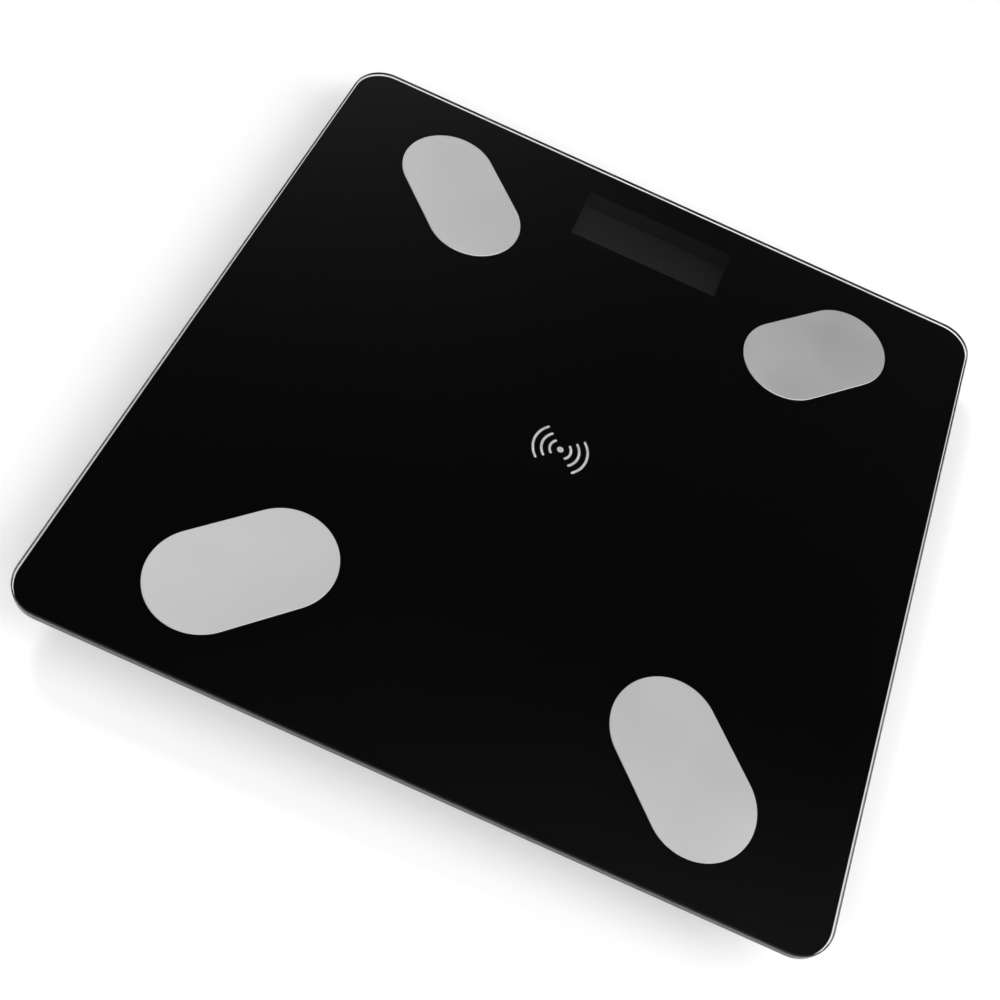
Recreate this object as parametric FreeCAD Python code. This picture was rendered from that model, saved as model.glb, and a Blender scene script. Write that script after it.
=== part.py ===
import FreeCAD, Part
import math
import os

# Digital bathroom scale with a tempered glass platform and four body-composition electrodes.
# Millimetres. Origin on the floor under the middle of the platform, +Z up, +Y towards the display edge,
# +X to the right of a person who stands on the platform and reads the display.

V = FreeCAD.Vector
ORIGIN = V(0, 0, 0)
X_AXIS = V(1, 0, 0)
UP = V(0, 0, 1)
TINY = 1e-4

# ---- driving dimensions: platform ----------------------------------------------------------------
PLATE_SIZE = 260.0
PLATE_CORNER_R = 12.0
PLATE_TOP = 22.2
PLATE_THICK = 3.2
PLATE_ARRIS = 0.4
PLATE_LOWER_ARRIS = 0.25
FILM_THICK = 0.2
FILM_INSET = 0.55
ELECTRODE_LENGTH = 59.8
ELECTRODE_WIDTH = 35.1
ELECTRODE_THICK = 0.4
ELECTRODE_ARRIS = 0.15
ELECTRODE_X = 72.6
ELECTRODE_REAR_Y = 86.3
ELECTRODE_FRONT_Y = -90.4
PIN_INSET = 18.0
PIN_R = 1.5
PIN_HOLE_R = 2.3
PIN_BOTTOM = 16.4
TAG_THICK = 0.5
TAG_R = 3.4
TAG_TAIL_LENGTH = 7.0
TAG_TAIL_WIDTH = 2.6
WINDOW_WIDTH = 59.6
WINDOW_DEPTH = 23.8
WINDOW_Y = 105.5
WINDOW_CORNER_R = 0.6

# ---- driving dimensions: pictogram ---------------------------------------------------------------
ICON_Y = -0.5
ICON_DOT_R = 1.15
ICON_ARC_RADII = (3.75, 6.65, 9.6)
ICON_STROKE = 0.9
ICON_HALF_ANGLE = 45.0

# ---- driving dimensions: base housing ------------------------------------------------------------
BASE_SIZE = 247.0
BASE_CORNER_R = 17.0
BASE_BOTTOM = 4.5
BASE_TOP = 18.0
BASE_BELLY_R = 9.0
WALL = 2.0
FLANGE_WIDTH = 11.0
FLANGE_THICK = 2.0
FLANGE_CORNER_R = 8.0
TAPE_EDGE = 1.0
TAPE_WIDTH = 8.0
DISPLAY_GAP_SIDE = 3.6
DISPLAY_GAP_FRONT_Y = 90.0
RIB_THICK = 1.2
RIB_TOP = 12.0
RIB_X = (-34.0, -11.0, 11.0, 34.0)
RIB_Y = (-95.0, -65.0, -35.0, -5.0)
RIB_REACH_Y = 18.0
GUIDE_X = (53.0, 59.5)
GUIDE_Y = (-45.0, 0.0, 50.0)
GUIDE_TOP = 10.0
SIDE_RIB_X = 90.0
SIDE_RIB_Y = 60.0
SUPPORT_Y = -50.0
SUPPORT_R = 8.0
GROOVE_DEPTH = 0.4
GROOVE_WIDTH = 1.2

# ---- driving dimensions: load cells and feet -----------------------------------------------------
FOOT_PITCH = 182.0
FOOT_R = 20.0
FOOT_PAD_R = 16.8
FOOT_PAD_THICK = 1.9
FOOT_FLOOR_TOP = 3.5
FOOT_RIM_Z = 0.9
FOOT_WALL = 1.8
FOOT_TOP = 7.3
BOSS_R = 5.0
BOSS_TOP = 9.8
TAB_R = 22.4
TAB_WIDTH = 12.0
TAB_TOP = 8.7
CELL_SIZE = 34.0
CELL_CORNER_R = 3.0
CELL_BOTTOM = 11.0
CELL_TOP = 13.5
CELL_FRAME = 5.0
TONGUE_HALF = 8.0
TONGUE_TIP = 9.0
POCKET_R = 25.0
POCKET_CEILING = 15.0
POCKET_TOP = 17.0
EAR_DISTANCE = 28.5
EAR_R = 3.6
EAR_HOLE_R = 1.25
EAR_GAP = 0.7
SCREW_R = 0.9
SCREW_PILOT_R = 0.95
SCREW_POST_R = 3.0
EAR_BOTTOM = 8.4
EAR_TOP = 10.4
RETAINER_R = 24.6
RETAINER_BORE_R = 20.4
RETAINER_BOTTOM = 5.3
LIP_TOP = 7.0
LUG_WIDTH = 9.0
CUSHION_R = 11.0

# ---- driving dimensions: battery bay -------------------------------------------------------------
BAY_Y = 36.0
BAY_LENGTH = 52.0
BAY_WIDTH = 23.0
BAY_WALL = 1.6
BAY_CEILING = 16.95
BAY_TOP = 17.8
CELL_R = 5.25
BATTERY_LENGTH = 43.3
BATTERY_NUB = 1.2
BATTERY_NUB_R = 1.9
BATTERY_Z = 11.6
BATTERY_PITCH = 11.3
DOOR_LENGTH = 55.0
DOOR_WIDTH = 30.0
DOOR_TOP = 6.1
DOOR_GAP = 0.35
HINGE_Z = 5.5
HINGE_PIN_R = 0.6
HINGE_CLEARANCE = 0.08
HINGE_PIN_LENGTH = 1.8
HINGE_BARREL_R = 0.95
HINGE_ROOM_R = 1.35
TONGUE_WIDTH = 10.0
TONGUE_SIDE_GAP = 0.6
TONGUE_SHEET = 0.8
CONTACT_SHEET = 0.4
CONTACT_HALF = 4.4

# ---- driving dimensions: electronics -------------------------------------------------------------
PCB_X = 50.0
PCB_Y0 = 84.0
PCB_Y1 = 118.4
PCB_BOTTOM = 8.6
PCB_TOP = 9.8
FRAME_WALL = 1.4
FRAME_TOP = 18.7
PANEL_TOP = 10.7
FILTER_TOP = 11.2
BUTTON_X = 41.0
BUTTON_Y = 97.0
BUTTON_R = 3.6
BUTTON_FLANGE_R = 5.0
BUTTON_GAP = 0.35
BUTTON_STEM_TOP = 6.8
PLUNGER_R = 1.4
PLUNGER_TOP = 7.7
SWITCH_SIZE = 6.0
SWITCH_BOTTOM = 7.2
POST_X = 38.5
POST_Y = (88.0, 114.0)
SOCKET_DEEP = 5.0
SOCKET_WIDE = 5.6
SOCKET_TALL = 3.4
SIDE_SOCKET_Y = (93.5, 104.0)
FRONT_SOCKET_X = 45.6
WIRE_R = 0.5
WIRE_PITCH = 1.35
WIRE_FLOOR_Z = 7.2

# ---- derived heights -----------------------------------------------------------------------------
PLATE_BOTTOM = PLATE_TOP - PLATE_THICK
FILM_BOTTOM = PLATE_BOTTOM - FILM_THICK
FLOOR_TOP = BASE_BOTTOM + WALL
FOOT_XY = FOOT_PITCH / 2.0
TAG_TOP = FILM_BOTTOM - 0.1
TAG_BOTTOM = TAG_TOP - TAG_THICK
SOCKET_WIRE_Z = PCB_TOP + 1.9
BAY_HALF_X = BAY_LENGTH / 2.0
BAY_HALF_Y = BAY_WIDTH / 2.0
HINGE_Y = BAY_Y + DOOR_WIDTH / 2.0 - 1.0
LATCH_Y = BAY_Y - DOOR_WIDTH / 2.0
PAST = 1.0  # how far a cutting shape runs past the surface that it opens

# Each corner: its name, the sign of x and the sign of y.
CORNERS = (
    ("rear_left", -1, 1),
    ("rear_right", 1, 1),
    ("front_left", -1, -1),
    ("front_right", 1, -1),
)


# ---- small geometry helpers ----------------------------------------------------------------------
def box(x0, x1, y0, y1, z0, z1):
    """Box between two corners."""
    return Part.makeBox(x1 - x0, y1 - y0, z1 - z0, V(x0, y0, z0))


def disc(x, y, radius, z0, z1):
    """Upright cylinder."""
    return Part.makeCylinder(radius, z1 - z0, V(x, y, z0))


def ring(x, y, inner, outer, z0, z1):
    """Upright tube."""
    return disc(x, y, outer, z0, z1).cut(disc(x, y, inner, z0, z1))


def rounded_block(width, depth, radius, z0, z1, x=0.0, y=0.0):
    """Upright prism on a rectangle with rounded corners, centred on x, y."""
    a = width / 2.0
    b = depth / 2.0
    k = radius * (1.0 - math.sqrt(0.5))
    edges = []
    for turn, (p, q) in enumerate(((a, b), (b, a), (a, b), (b, a))):
        spin = FreeCAD.Rotation(UP, 90.0 * turn)
        side = Part.LineSegment(V(p, -q + radius, 0), V(p, q - radius, 0))
        corner = Part.Arc(V(p, q - radius, 0), V(p - k, q - k, 0), V(p - radius, q, 0))
        for curve in (side, corner):
            edge = curve.toShape()
            edge.Placement = FreeCAD.Placement(V(x, y, z0), spin)
            edges.append(edge)
    wire = Part.Wire(Part.__sortEdges__(edges))
    return Part.Face(wire).extrude(V(0, 0, z1 - z0))


def stadium_block(length, width, angle, x, y, z0, z1):
    """Upright prism on a straight slot outline with round ends, turned by angle degrees."""
    r = width / 2.0
    h = length / 2.0 - r
    outline = [
        Part.LineSegment(V(-h, -r, 0), V(h, -r, 0)),
        Part.Arc(V(h, -r, 0), V(h + r, 0, 0), V(h, r, 0)),
        Part.LineSegment(V(h, r, 0), V(-h, r, 0)),
        Part.Arc(V(-h, r, 0), V(-h - r, 0, 0), V(-h, -r, 0)),
    ]
    wire = Part.Wire([curve.toShape() for curve in outline])
    wire.Placement = FreeCAD.Placement(V(x, y, z0), FreeCAD.Rotation(UP, angle))
    return Part.Face(wire).extrude(V(0, 0, z1 - z0))


def level_edges(shape, z):
    """Edges that lie wholly at height z."""
    found = []
    for edge in shape.Edges:
        bounds = edge.BoundBox
        if abs(bounds.ZMin - z) < TINY and abs(bounds.ZMax - z) < TINY:
            found.append(edge)
    return found


def at_angle(x, y, radius, degrees):
    """Point at a polar offset from x, y."""
    turn = math.radians(degrees)
    return x + radius * math.cos(turn), y + radius * math.sin(turn)


def fuse_all(shapes):
    """One solid from overlapping shapes."""
    result = shapes[0]
    if len(shapes) > 1:
        result = result.multiFuse(shapes[1:])
    return result.removeSplitter()


def cut_all(shape, tools):
    """Shape less every tool."""
    for tool in tools:
        shape = shape.cut(tool)
    return shape


def turned(shape, x, y, degrees):
    """Copy of a shape that was built round the origin, turned and moved to x, y."""
    copy = shape.copy()
    copy.rotate(ORIGIN, UP, degrees)
    copy.translate(V(x, y, 0))
    return copy


def save(name, shape):
    """Write one sub-part, a single solid or a group of separate solids."""
    solids = shape.Solids
    valid = all(solid.isValid() for solid in solids)
    body = solids[0] if len(solids) == 1 else Part.makeCompound(solids)
    body.exportStep("parts/" + name + ".step")
    print(name, "solids", len(solids), "valid", valid, "mm3", round(body.Volume, 2))


# ---- wires ---------------------------------------------------------------------------------------
def bend_radius(before, point, after):
    """Largest bend that a corner of a lead has room for."""
    inward = point.sub(before)
    outward = after.sub(point)
    half_turn = inward.getAngle(outward) / 2.0
    return 0.45 * min(inward.Length, outward.Length) / math.tan(half_turn)


def tube_on_route(points, radius):
    """Round tube along straight runs that are joined by tangent arcs."""
    edges = []
    start = points[0]
    for before, point, after in zip(points, points[1:], points[2:]):
        inward = point.sub(before).normalize()
        outward = after.sub(point).normalize()
        half_turn = inward.getAngle(outward) / 2.0
        bend = bend_radius(before, point, after)
        reach = bend * math.tan(half_turn)
        first = point.sub(V(inward).multiply(reach))
        last = point.add(V(outward).multiply(reach))
        inside = V(outward).sub(inward).normalize()
        middle = point.add(inside.multiply(bend / math.cos(half_turn) - bend))
        edges.append(Part.LineSegment(start, first).toShape())
        edges.append(Part.Arc(first, middle, last).toShape())
        start = last
    edges.append(Part.LineSegment(start, points[-1]).toShape())
    path = Part.Wire(edges)
    heading = points[1].sub(points[0])
    section = Part.Wire(Part.makeCircle(radius, points[0], heading))
    tube = path.makePipeShell([section], True, True)
    expected = math.pi * radius * radius * path.Length
    if abs(tube.Volume / expected - 1.0) > 0.01:
        print("wire volume differs", tube.Volume, expected)
    return tube


def side_route(points, offset):
    """Route beside another one, offset level to the left of its direction of travel."""
    moved = []
    for index, point in enumerate(points):
        headings = []
        if index > 0:
            headings.append(point.sub(points[index - 1]))
        if index < len(points) - 1:
            headings.append(points[index + 1].sub(point))
        normals = [V(-h.y, h.x, 0).normalize() for h in headings]
        blend = V(0, 0, 0)
        for normal in normals:
            blend = blend.add(normal)
        blend.normalize()
        stretch = offset / blend.dot(normals[0])
        moved.append(point.add(blend.multiply(stretch)))
    return moved


def wire_bundle(points, count, radius=WIRE_R, pitch=WIRE_PITCH):
    """Level row of separate wires that follow one route."""
    wires = []
    for index in range(count):
        offset = (index - (count - 1) / 2.0) * pitch
        wires.append(tube_on_route(side_route(points, offset), radius))
    radii = [bend_radius(*corner) for corner in zip(points, points[1:], points[2:])]
    print("  bend radii", [round(r, 1) for r in radii])
    return wires


# ---- platform ------------------------------------------------------------------------------------
def electrode_place(sx, sy):
    """Centre of an electrode and the angle of its long axis, which points at the middle."""
    y = ELECTRODE_REAR_Y if sy > 0 else ELECTRODE_FRONT_Y
    return sx * ELECTRODE_X, y, 45.0 * sx * sy


def pin_place(sx, sy):
    """Stud of an electrode, towards the middle of the platform."""
    x, y, _ = electrode_place(sx, sy)
    step = PIN_INSET * math.sqrt(0.5)
    return x - sx * step, y - sy * step


def pin_holes(z0, z1):
    """Clearance holes for the electrode studs."""
    return [disc(*pin_place(sx, sy), PIN_HOLE_R, z0, z1) for _, sx, sy in CORNERS]


def glass_plate():
    """Tempered glass with ground corners, a fine arris all round and four stud holes."""
    plate = rounded_block(PLATE_SIZE, PLATE_SIZE, PLATE_CORNER_R, PLATE_BOTTOM, PLATE_TOP)
    plate = plate.makeChamfer(PLATE_ARRIS, level_edges(plate, PLATE_TOP))
    plate = plate.makeChamfer(PLATE_LOWER_ARRIS, level_edges(plate, PLATE_BOTTOM))
    return cut_all(plate, pin_holes(PLATE_BOTTOM - PAST, PLATE_TOP + PAST))


def icon_arc(radius, middle_angle, z0, z1):
    """One round-ended stroke of the pictogram."""
    half = ICON_STROKE / 2.0
    band = ring(0.0, ICON_Y, radius - half, radius + half, z0, z1)
    reach = 2.0 * radius
    first = middle_angle - ICON_HALF_ANGLE
    last = middle_angle + ICON_HALF_ANGLE
    corners = [V(0.0, ICON_Y, z0)]
    for angle in (first, middle_angle, last):
        x, y = at_angle(0.0, ICON_Y, reach, angle)
        corners.append(V(x, y, z0))
    corners.append(corners[0])
    wedge = Part.Face(Part.makePolygon(corners)).extrude(V(0, 0, z1 - z0))
    stroke = [band.common(wedge)]
    for angle in (first, last):
        x, y = at_angle(0.0, ICON_Y, radius, angle)
        stroke.append(disc(x, y, half, z0, z1))
    return fuse_all(stroke)


def wireless_icon():
    """Dot between two sets of three waves, in the thickness of the print."""
    strokes = [disc(0.0, ICON_Y, ICON_DOT_R, FILM_BOTTOM, PLATE_BOTTOM)]
    for middle_angle in (0.0, 180.0):
        for radius in ICON_ARC_RADII:
            strokes.append(icon_arc(radius, middle_angle, FILM_BOTTOM, PLATE_BOTTOM))
    return Part.makeCompound(strokes)


def graphic_film(icon):
    """Black print under the glass, with the display window and the pictogram left out of it."""
    size = PLATE_SIZE - 2.0 * FILM_INSET
    film = rounded_block(size, size, PLATE_CORNER_R - FILM_INSET, FILM_BOTTOM, PLATE_BOTTOM)
    window = rounded_block(WINDOW_WIDTH, WINDOW_DEPTH, WINDOW_CORNER_R, FILM_BOTTOM - PAST,
                           PLATE_BOTTOM + PAST, 0.0, WINDOW_Y)
    return cut_all(film, [window] + pin_holes(FILM_BOTTOM - PAST, PLATE_BOTTOM + PAST) + icon.Solids)


def electrode(sx, sy):
    """Thin steel foot plate on top of the glass."""
    x, y, angle = electrode_place(sx, sy)
    top = PLATE_TOP + ELECTRODE_THICK
    plate = stadium_block(ELECTRODE_LENGTH, ELECTRODE_WIDTH, angle, x, y, PLATE_TOP, top)
    return plate.makeChamfer(ELECTRODE_ARRIS, level_edges(plate, top))


def electrode_pins():
    """Studs that carry the electrodes' current through the glass."""
    studs = [disc(*pin_place(sx, sy), PIN_R, PIN_BOTTOM, PLATE_TOP) for _, sx, sy in CORNERS]
    return Part.makeCompound(studs)


def tag_end(sx, sy):
    """Free end of a solder tag, which points to the middle of the base."""
    x, y = pin_place(sx, sy)
    return x - sx * TAG_TAIL_LENGTH, y


def electrode_terminals():
    """Ring tags on the studs, each with a tail for its lead."""
    tags = []
    for _, sx, sy in CORNERS:
        x, y = pin_place(sx, sy)
        tip, _ = tag_end(sx, sy)
        half = TAG_TAIL_WIDTH / 2.0
        tail = box(min(x, tip), max(x, tip), y - half, y + half, TAG_BOTTOM, TAG_TOP)
        plate = fuse_all([disc(x, y, TAG_R, TAG_BOTTOM, TAG_TOP), tail])
        tags.append(plate.cut(disc(x, y, PIN_R, TAG_BOTTOM - PAST, TAG_TOP + PAST)))
    return Part.makeCompound(tags)


# ---- base housing --------------------------------------------------------------------------------
def belly_block(size, corner_r, belly_r, z0, z1):
    """Rounded square block whose lower edge is turned under."""
    block = rounded_block(size, size, corner_r, z0, z1)
    return block.makeFillet(belly_r, level_edges(block, z0))


def ear_angles(sx, sy):
    """Directions of a retainer's two screw ears, across the diagonal of the base."""
    outward = math.degrees(math.atan2(sy, sx))
    return outward + 90.0, outward - 90.0


def pocket_outline(cx, cy, sx, sy, grow, z0, z1):
    """Plan shape of a load cell pocket with its two screw ears, made larger by grow."""
    shapes = [disc(cx, cy, POCKET_R + grow, z0, z1)]
    half = EAR_R + EAR_GAP + grow
    for angle in ear_angles(sx, sy):
        x, y = at_angle(cx, cy, EAR_DISTANCE, angle)
        shapes.append(disc(x, y, half, z0, z1))
        shapes.append(turned(box(POCKET_R - 5.0, EAR_DISTANCE, -half, half, z0, z1), cx, cy, angle))
    return fuse_all(shapes)


def cell_ledge(cx, cy, sx):
    """Square ledge that a load cell's frame is clamped against, open where its wires leave."""
    ledge_width = 3.5
    hole = CELL_SIZE - 2.0 * ledge_width
    outer = rounded_block(CELL_SIZE, CELL_SIZE, CELL_CORNER_R, CELL_TOP, POCKET_CEILING + TINY, cx, cy)
    inner = rounded_block(hole, hole, 2.0, CELL_TOP - PAST, POCKET_CEILING + PAST, cx, cy)
    wire_gap = box(-ledge_width, ledge_width, -3.0, 3.0, CELL_TOP - PAST, POCKET_CEILING + PAST)
    wire_gap.translate(V(cx - sx * (CELL_SIZE / 2.0 - 1.5), cy, 0))
    return outer.cut(inner).cut(wire_gap)


def pocket_walls(sx, sy):
    """Everything that a load cell pocket adds to the tray."""
    cx = sx * FOOT_XY
    cy = sy * FOOT_XY
    cushion_seat = disc(cx, cy, CUSHION_R + 1.0, POCKET_TOP - TINY, BAY_TOP)
    return [pocket_outline(cx, cy, sx, sy, WALL, BASE_BOTTOM, POCKET_TOP), cushion_seat]


def pocket_voids(sx, sy):
    """Everything that a load cell pocket takes out of the tray."""
    cx = sx * FOOT_XY
    cy = sy * FOOT_XY
    void = pocket_outline(cx, cy, sx, sy, 0.0, BASE_BOTTOM - PAST, POCKET_CEILING)
    keep = [cell_ledge(cx, cy, sx)]
    for angle in ear_angles(sx, sy):
        x, y = at_angle(cx, cy, EAR_DISTANCE, angle)
        keep.append(ring(x, y, SCREW_PILOT_R, SCREW_POST_R, EAR_TOP, POCKET_CEILING + TINY))
    wire_notch = box(-2.5, 2.5, -2.8, 2.8, CELL_TOP - 0.6, POCKET_CEILING)
    wire_notch.translate(V(cx - sx * (POCKET_R + WALL / 2.0), cy, 0))
    return [cut_all(void, keep), wire_notch]


def battery_bay_walls():
    """Box on the tray's floor that holds the two cells, with the door's hinge bar and latch wall."""
    hx = BAY_HALF_X + BAY_WALL
    hy = BAY_HALF_Y + BAY_WALL
    bar_x = hx + 3.0
    bay = box(-hx, hx, BAY_Y - hy, BAY_Y + hy, BASE_BOTTOM, BAY_TOP)
    hinge_bar = box(-bar_x, bar_x, HINGE_Y - 2.6, HINGE_Y + 3.0, BASE_BOTTOM, FLOOR_TOP + 1.2)
    latch_wall = box(-8.0, 8.0, LATCH_Y - 2.2, LATCH_Y + 3.0, BASE_BOTTOM, FLOOR_TOP + 5.0)
    return [bay, hinge_bar, latch_wall]


def battery_bay_voids():
    """Room for the cells, the door, its hinge and its latch."""
    below = BASE_BOTTOM - PAST
    door_x = DOOR_LENGTH / 2.0 + DOOR_GAP
    latch_y = LATCH_Y - DOOR_GAP
    cells = box(-BAY_HALF_X, BAY_HALF_X, BAY_Y - BAY_HALF_Y, BAY_Y + BAY_HALF_Y, below, BAY_CEILING)
    door = box(-door_x, door_x, latch_y, HINGE_Y, below, DOOR_TOP + 0.25)
    roll = Part.makeCylinder(HINGE_ROOM_R, 2.0 * door_x, V(-door_x, HINGE_Y, HINGE_Z), X_AXIS)
    roll_mouth = box(-door_x, door_x, HINGE_Y - HINGE_ROOM_R, HINGE_Y + HINGE_ROOM_R, below, HINGE_Z)
    pin_x = DOOR_LENGTH / 2.0 + HINGE_PIN_LENGTH + 0.2
    socket_r = HINGE_PIN_R + HINGE_CLEARANCE
    sockets = Part.makeCylinder(socket_r, 2.0 * pin_x, V(-pin_x, HINGE_Y, HINGE_Z), X_AXIS)
    latch_x = TONGUE_WIDTH / 2.0 + TONGUE_SIDE_GAP
    latch_room = box(-latch_x, latch_x, latch_y, latch_y + 3.4, BASE_BOTTOM, FLOOR_TOP + 3.8)
    finger = disc(0.0, latch_y - 3.0, 7.5, below, BASE_BOTTOM + 1.1)
    link_slots = []
    for sign in (-1, 1):
        y = BAY_Y + sign * BATTERY_PITCH / 2.0
        link_slots.append(box(BAY_HALF_X - 0.5, BAY_HALF_X + 2.5, y - 1.2, y + 1.2, 11.0, 13.0))
    return [cells, door, roll, roll_mouth, sockets, latch_room, finger] + link_slots


def board_posts():
    """Posts under the main board, and the hole and collar of the unit button."""
    adds = []
    voids = []
    for sx in (-1, 1):
        for y in POST_Y:
            x = sx * POST_X
            adds.append(disc(x, y, SCREW_POST_R, BASE_BOTTOM + 1.0, PCB_BOTTOM))
            voids.append(disc(x, y, SCREW_PILOT_R, BASE_BOTTOM + 0.9, PCB_BOTTOM + PAST))
    shaft_r = BUTTON_R + BUTTON_GAP
    collar_r = BUTTON_FLANGE_R + BUTTON_GAP
    finger_r = 2.0 * BUTTON_R - 0.2
    voids.append(disc(BUTTON_X, BUTTON_Y, shaft_r, BASE_BOTTOM - PAST, FLOOR_TOP + PAST))
    voids.append(disc(BUTTON_X, BUTTON_Y, collar_r, BASE_BOTTOM + 1.0, FLOOR_TOP + PAST))
    voids.append(disc(BUTTON_X, BUTTON_Y, finger_r, BASE_BOTTOM - PAST, BASE_BOTTOM + 0.35))
    return adds, voids


def stiffening_ribs():
    """Rib grid between the pockets, low walls that guide the leads, and the middle glass support."""
    half = RIB_THICK / 2.0
    root = FLOOR_TOP - 0.5
    ribs = []
    for y in RIB_Y:
        ribs.append(box(RIB_X[0], RIB_X[-1], y - half, y + half, root, RIB_TOP))
    for x in RIB_X:
        ribs.append(box(x - half, x + half, RIB_Y[0] - half, RIB_REACH_Y, root, RIB_TOP))
    ribs.append(disc(0.0, SUPPORT_Y, SUPPORT_R, root, BAY_TOP))
    for sx in (-1, 1):
        for y in GUIDE_Y:
            for x in GUIDE_X:
                ribs.append(box(sx * x - half, sx * x + half, y - 3.0, y + 3.0, root, GUIDE_TOP))
        ends = sorted((sx * 72.0, sx * 121.0))
        for y in (-SIDE_RIB_Y, SIDE_RIB_Y):
            ribs.append(box(ends[0], ends[1], y - half, y + half, FLOOR_TOP + 0.5, 14.0))
        x = sx * SIDE_RIB_X
        ribs.append(box(x - half, x + half, -SIDE_RIB_Y, SIDE_RIB_Y, root, 11.0))
    return ribs


def underside_relief():
    """Shallow grooves moulded in the underside: a frame line and short grip lines."""
    frame_x = 196.0
    frame_y = 120.0
    corner_r = 8.0
    top = BASE_BOTTOM + GROOVE_DEPTH
    outer = rounded_block(frame_x, frame_y, corner_r, BASE_BOTTOM - PAST, top, 0.0, -4.0)
    inner = rounded_block(frame_x - 2.0 * GROOVE_WIDTH, frame_y - 2.0 * GROOVE_WIDTH,
                          corner_r - GROOVE_WIDTH, BASE_BOTTOM - 2.0 * PAST, top + PAST, 0.0, -4.0)
    tools = [outer.cut(inner)]
    lines = 7
    pitch = 6.0
    for index in range(lines):
        x = (index - (lines - 1) / 2.0) * pitch
        tools.append(stadium_block(26.0, GROOVE_WIDTH + 0.2, 90.0, x, -94.0, BASE_BOTTOM - PAST, top))
    return tools


def base_housing():
    """Moulded tray: floor, turned-under walls, glass flange, pockets, bay, posts and ribs."""
    outer = belly_block(BASE_SIZE, BASE_CORNER_R, BASE_BELLY_R, BASE_BOTTOM, BASE_TOP)
    inner_size = BASE_SIZE - 2.0 * WALL
    inner = belly_block(inner_size, BASE_CORNER_R - WALL, BASE_BELLY_R - WALL, FLOOR_TOP, BASE_TOP + PAST)
    tray = outer.cut(inner)
    flange_out = BASE_SIZE - 2.0
    flange_in = BASE_SIZE - 2.0 * FLANGE_WIDTH
    flange = rounded_block(flange_out, flange_out, BASE_CORNER_R - 1.0, BASE_TOP - FLANGE_THICK, BASE_TOP)
    below = BASE_TOP - FLANGE_THICK - PAST
    opening = rounded_block(flange_in, flange_in, FLANGE_CORNER_R, below, BASE_TOP + PAST)
    gap_x = WINDOW_WIDTH / 2.0 + DISPLAY_GAP_SIDE
    display_gap = box(-gap_x, gap_x, DISPLAY_GAP_FRONT_Y, PCB_Y1 + 0.8, below, BASE_TOP + PAST)
    flange = flange.cut(opening).cut(display_gap)
    post_adds, post_voids = board_posts()
    inside = battery_bay_walls() + post_adds + stiffening_ribs()
    for _, sx, sy in CORNERS:
        inside += pocket_walls(sx, sy)
    # what is added inside never stands out through the turned-under wall
    inside = [shape.common(outer) for shape in inside]
    tray = fuse_all([tray, flange] + inside)
    voids = battery_bay_voids() + post_voids + underside_relief()
    for _, sx, sy in CORNERS:
        voids += pocket_voids(sx, sy)
    return cut_all(tray, voids).removeSplitter()


def mounting_tape():
    """Foam tape frame on the flange, narrow past the display."""
    size = BASE_SIZE - 2.0 * TAPE_EDGE
    hole = size - 2.0 * TAPE_WIDTH
    low = BASE_TOP - PAST
    high = FILM_BOTTOM + PAST
    frame = rounded_block(size, size, BASE_CORNER_R - TAPE_EDGE, BASE_TOP, FILM_BOTTOM)
    opening = rounded_block(hole, hole, FLANGE_CORNER_R + 1.0, low, high)
    gap_x = WINDOW_WIDTH / 2.0 + DISPLAY_GAP_SIDE + 0.6
    display_gap = box(-gap_x, gap_x, DISPLAY_GAP_FRONT_Y, PCB_Y1 + 1.2, low, high)
    return frame.cut(opening).cut(display_gap)


def glass_cushions():
    """Foam pads between the glass and the places that carry its load."""
    pads = [disc(sx * FOOT_XY, sy * FOOT_XY, CUSHION_R, BAY_TOP, FILM_BOTTOM) for _, sx, sy in CORNERS]
    pads.append(disc(0.0, SUPPORT_Y, SUPPORT_R - 1.0, BAY_TOP, FILM_BOTTOM))
    pads.append(rounded_block(44.0, 16.0, 2.0, BAY_TOP, FILM_BOTTOM, 0.0, BAY_Y))
    return Part.makeCompound(pads)


# ---- battery bay ---------------------------------------------------------------------------------
def battery_door():
    """Door that turns on two short pins and closes with a springy tongue."""
    hx = DOOR_LENGTH / 2.0
    half = TONGUE_WIDTH / 2.0
    tongue_top = FLOOR_TOP + 3.2
    front = LATCH_Y + 0.2
    back = LATCH_Y + 3.0
    plate = box(-hx, hx, LATCH_Y, HINGE_Y, BASE_BOTTOM, DOOR_TOP)
    barrel = Part.makeCylinder(HINGE_BARREL_R, DOOR_LENGTH, V(-hx, HINGE_Y, HINGE_Z), X_AXIS)
    pin_span = DOOR_LENGTH + 2.0 * HINGE_PIN_LENGTH
    pins = Part.makeCylinder(HINGE_PIN_R, pin_span, V(-pin_span / 2.0, HINGE_Y, HINGE_Z), X_AXIS)
    tongue_back = box(-half, half, back - TONGUE_SHEET, back, DOOR_TOP - 0.5, tongue_top)
    tongue_front = box(-half, half, front, front + TONGUE_SHEET, BASE_BOTTOM + 0.4, tongue_top)
    tongue_bridge = box(-half, half, front, back, tongue_top - TONGUE_SHEET, tongue_top)
    door = fuse_all([plate, barrel, pins, tongue_back, tongue_bridge])
    slit_x = half + TONGUE_SIDE_GAP
    slit = box(-slit_x, slit_x, LATCH_Y - PAST, LATCH_Y + 1.6, BASE_BOTTOM - PAST, DOOR_TOP + 0.01)
    door = door.cut(slit)
    finger_lip = box(-half, half, front, front + 1.1, BASE_BOTTOM + 0.1, BASE_BOTTOM + 1.0)
    door = fuse_all([door, tongue_front, finger_lip])
    grip = []
    for row in range(4):
        y = LATCH_Y + 5.0 + 2.2 * row
        grip.append(stadium_block(16.0, 1.0, 0.0, 0.0, y, BASE_BOTTOM - PAST, BASE_BOTTOM + 0.35))
    return cut_all(door, grip)


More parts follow.
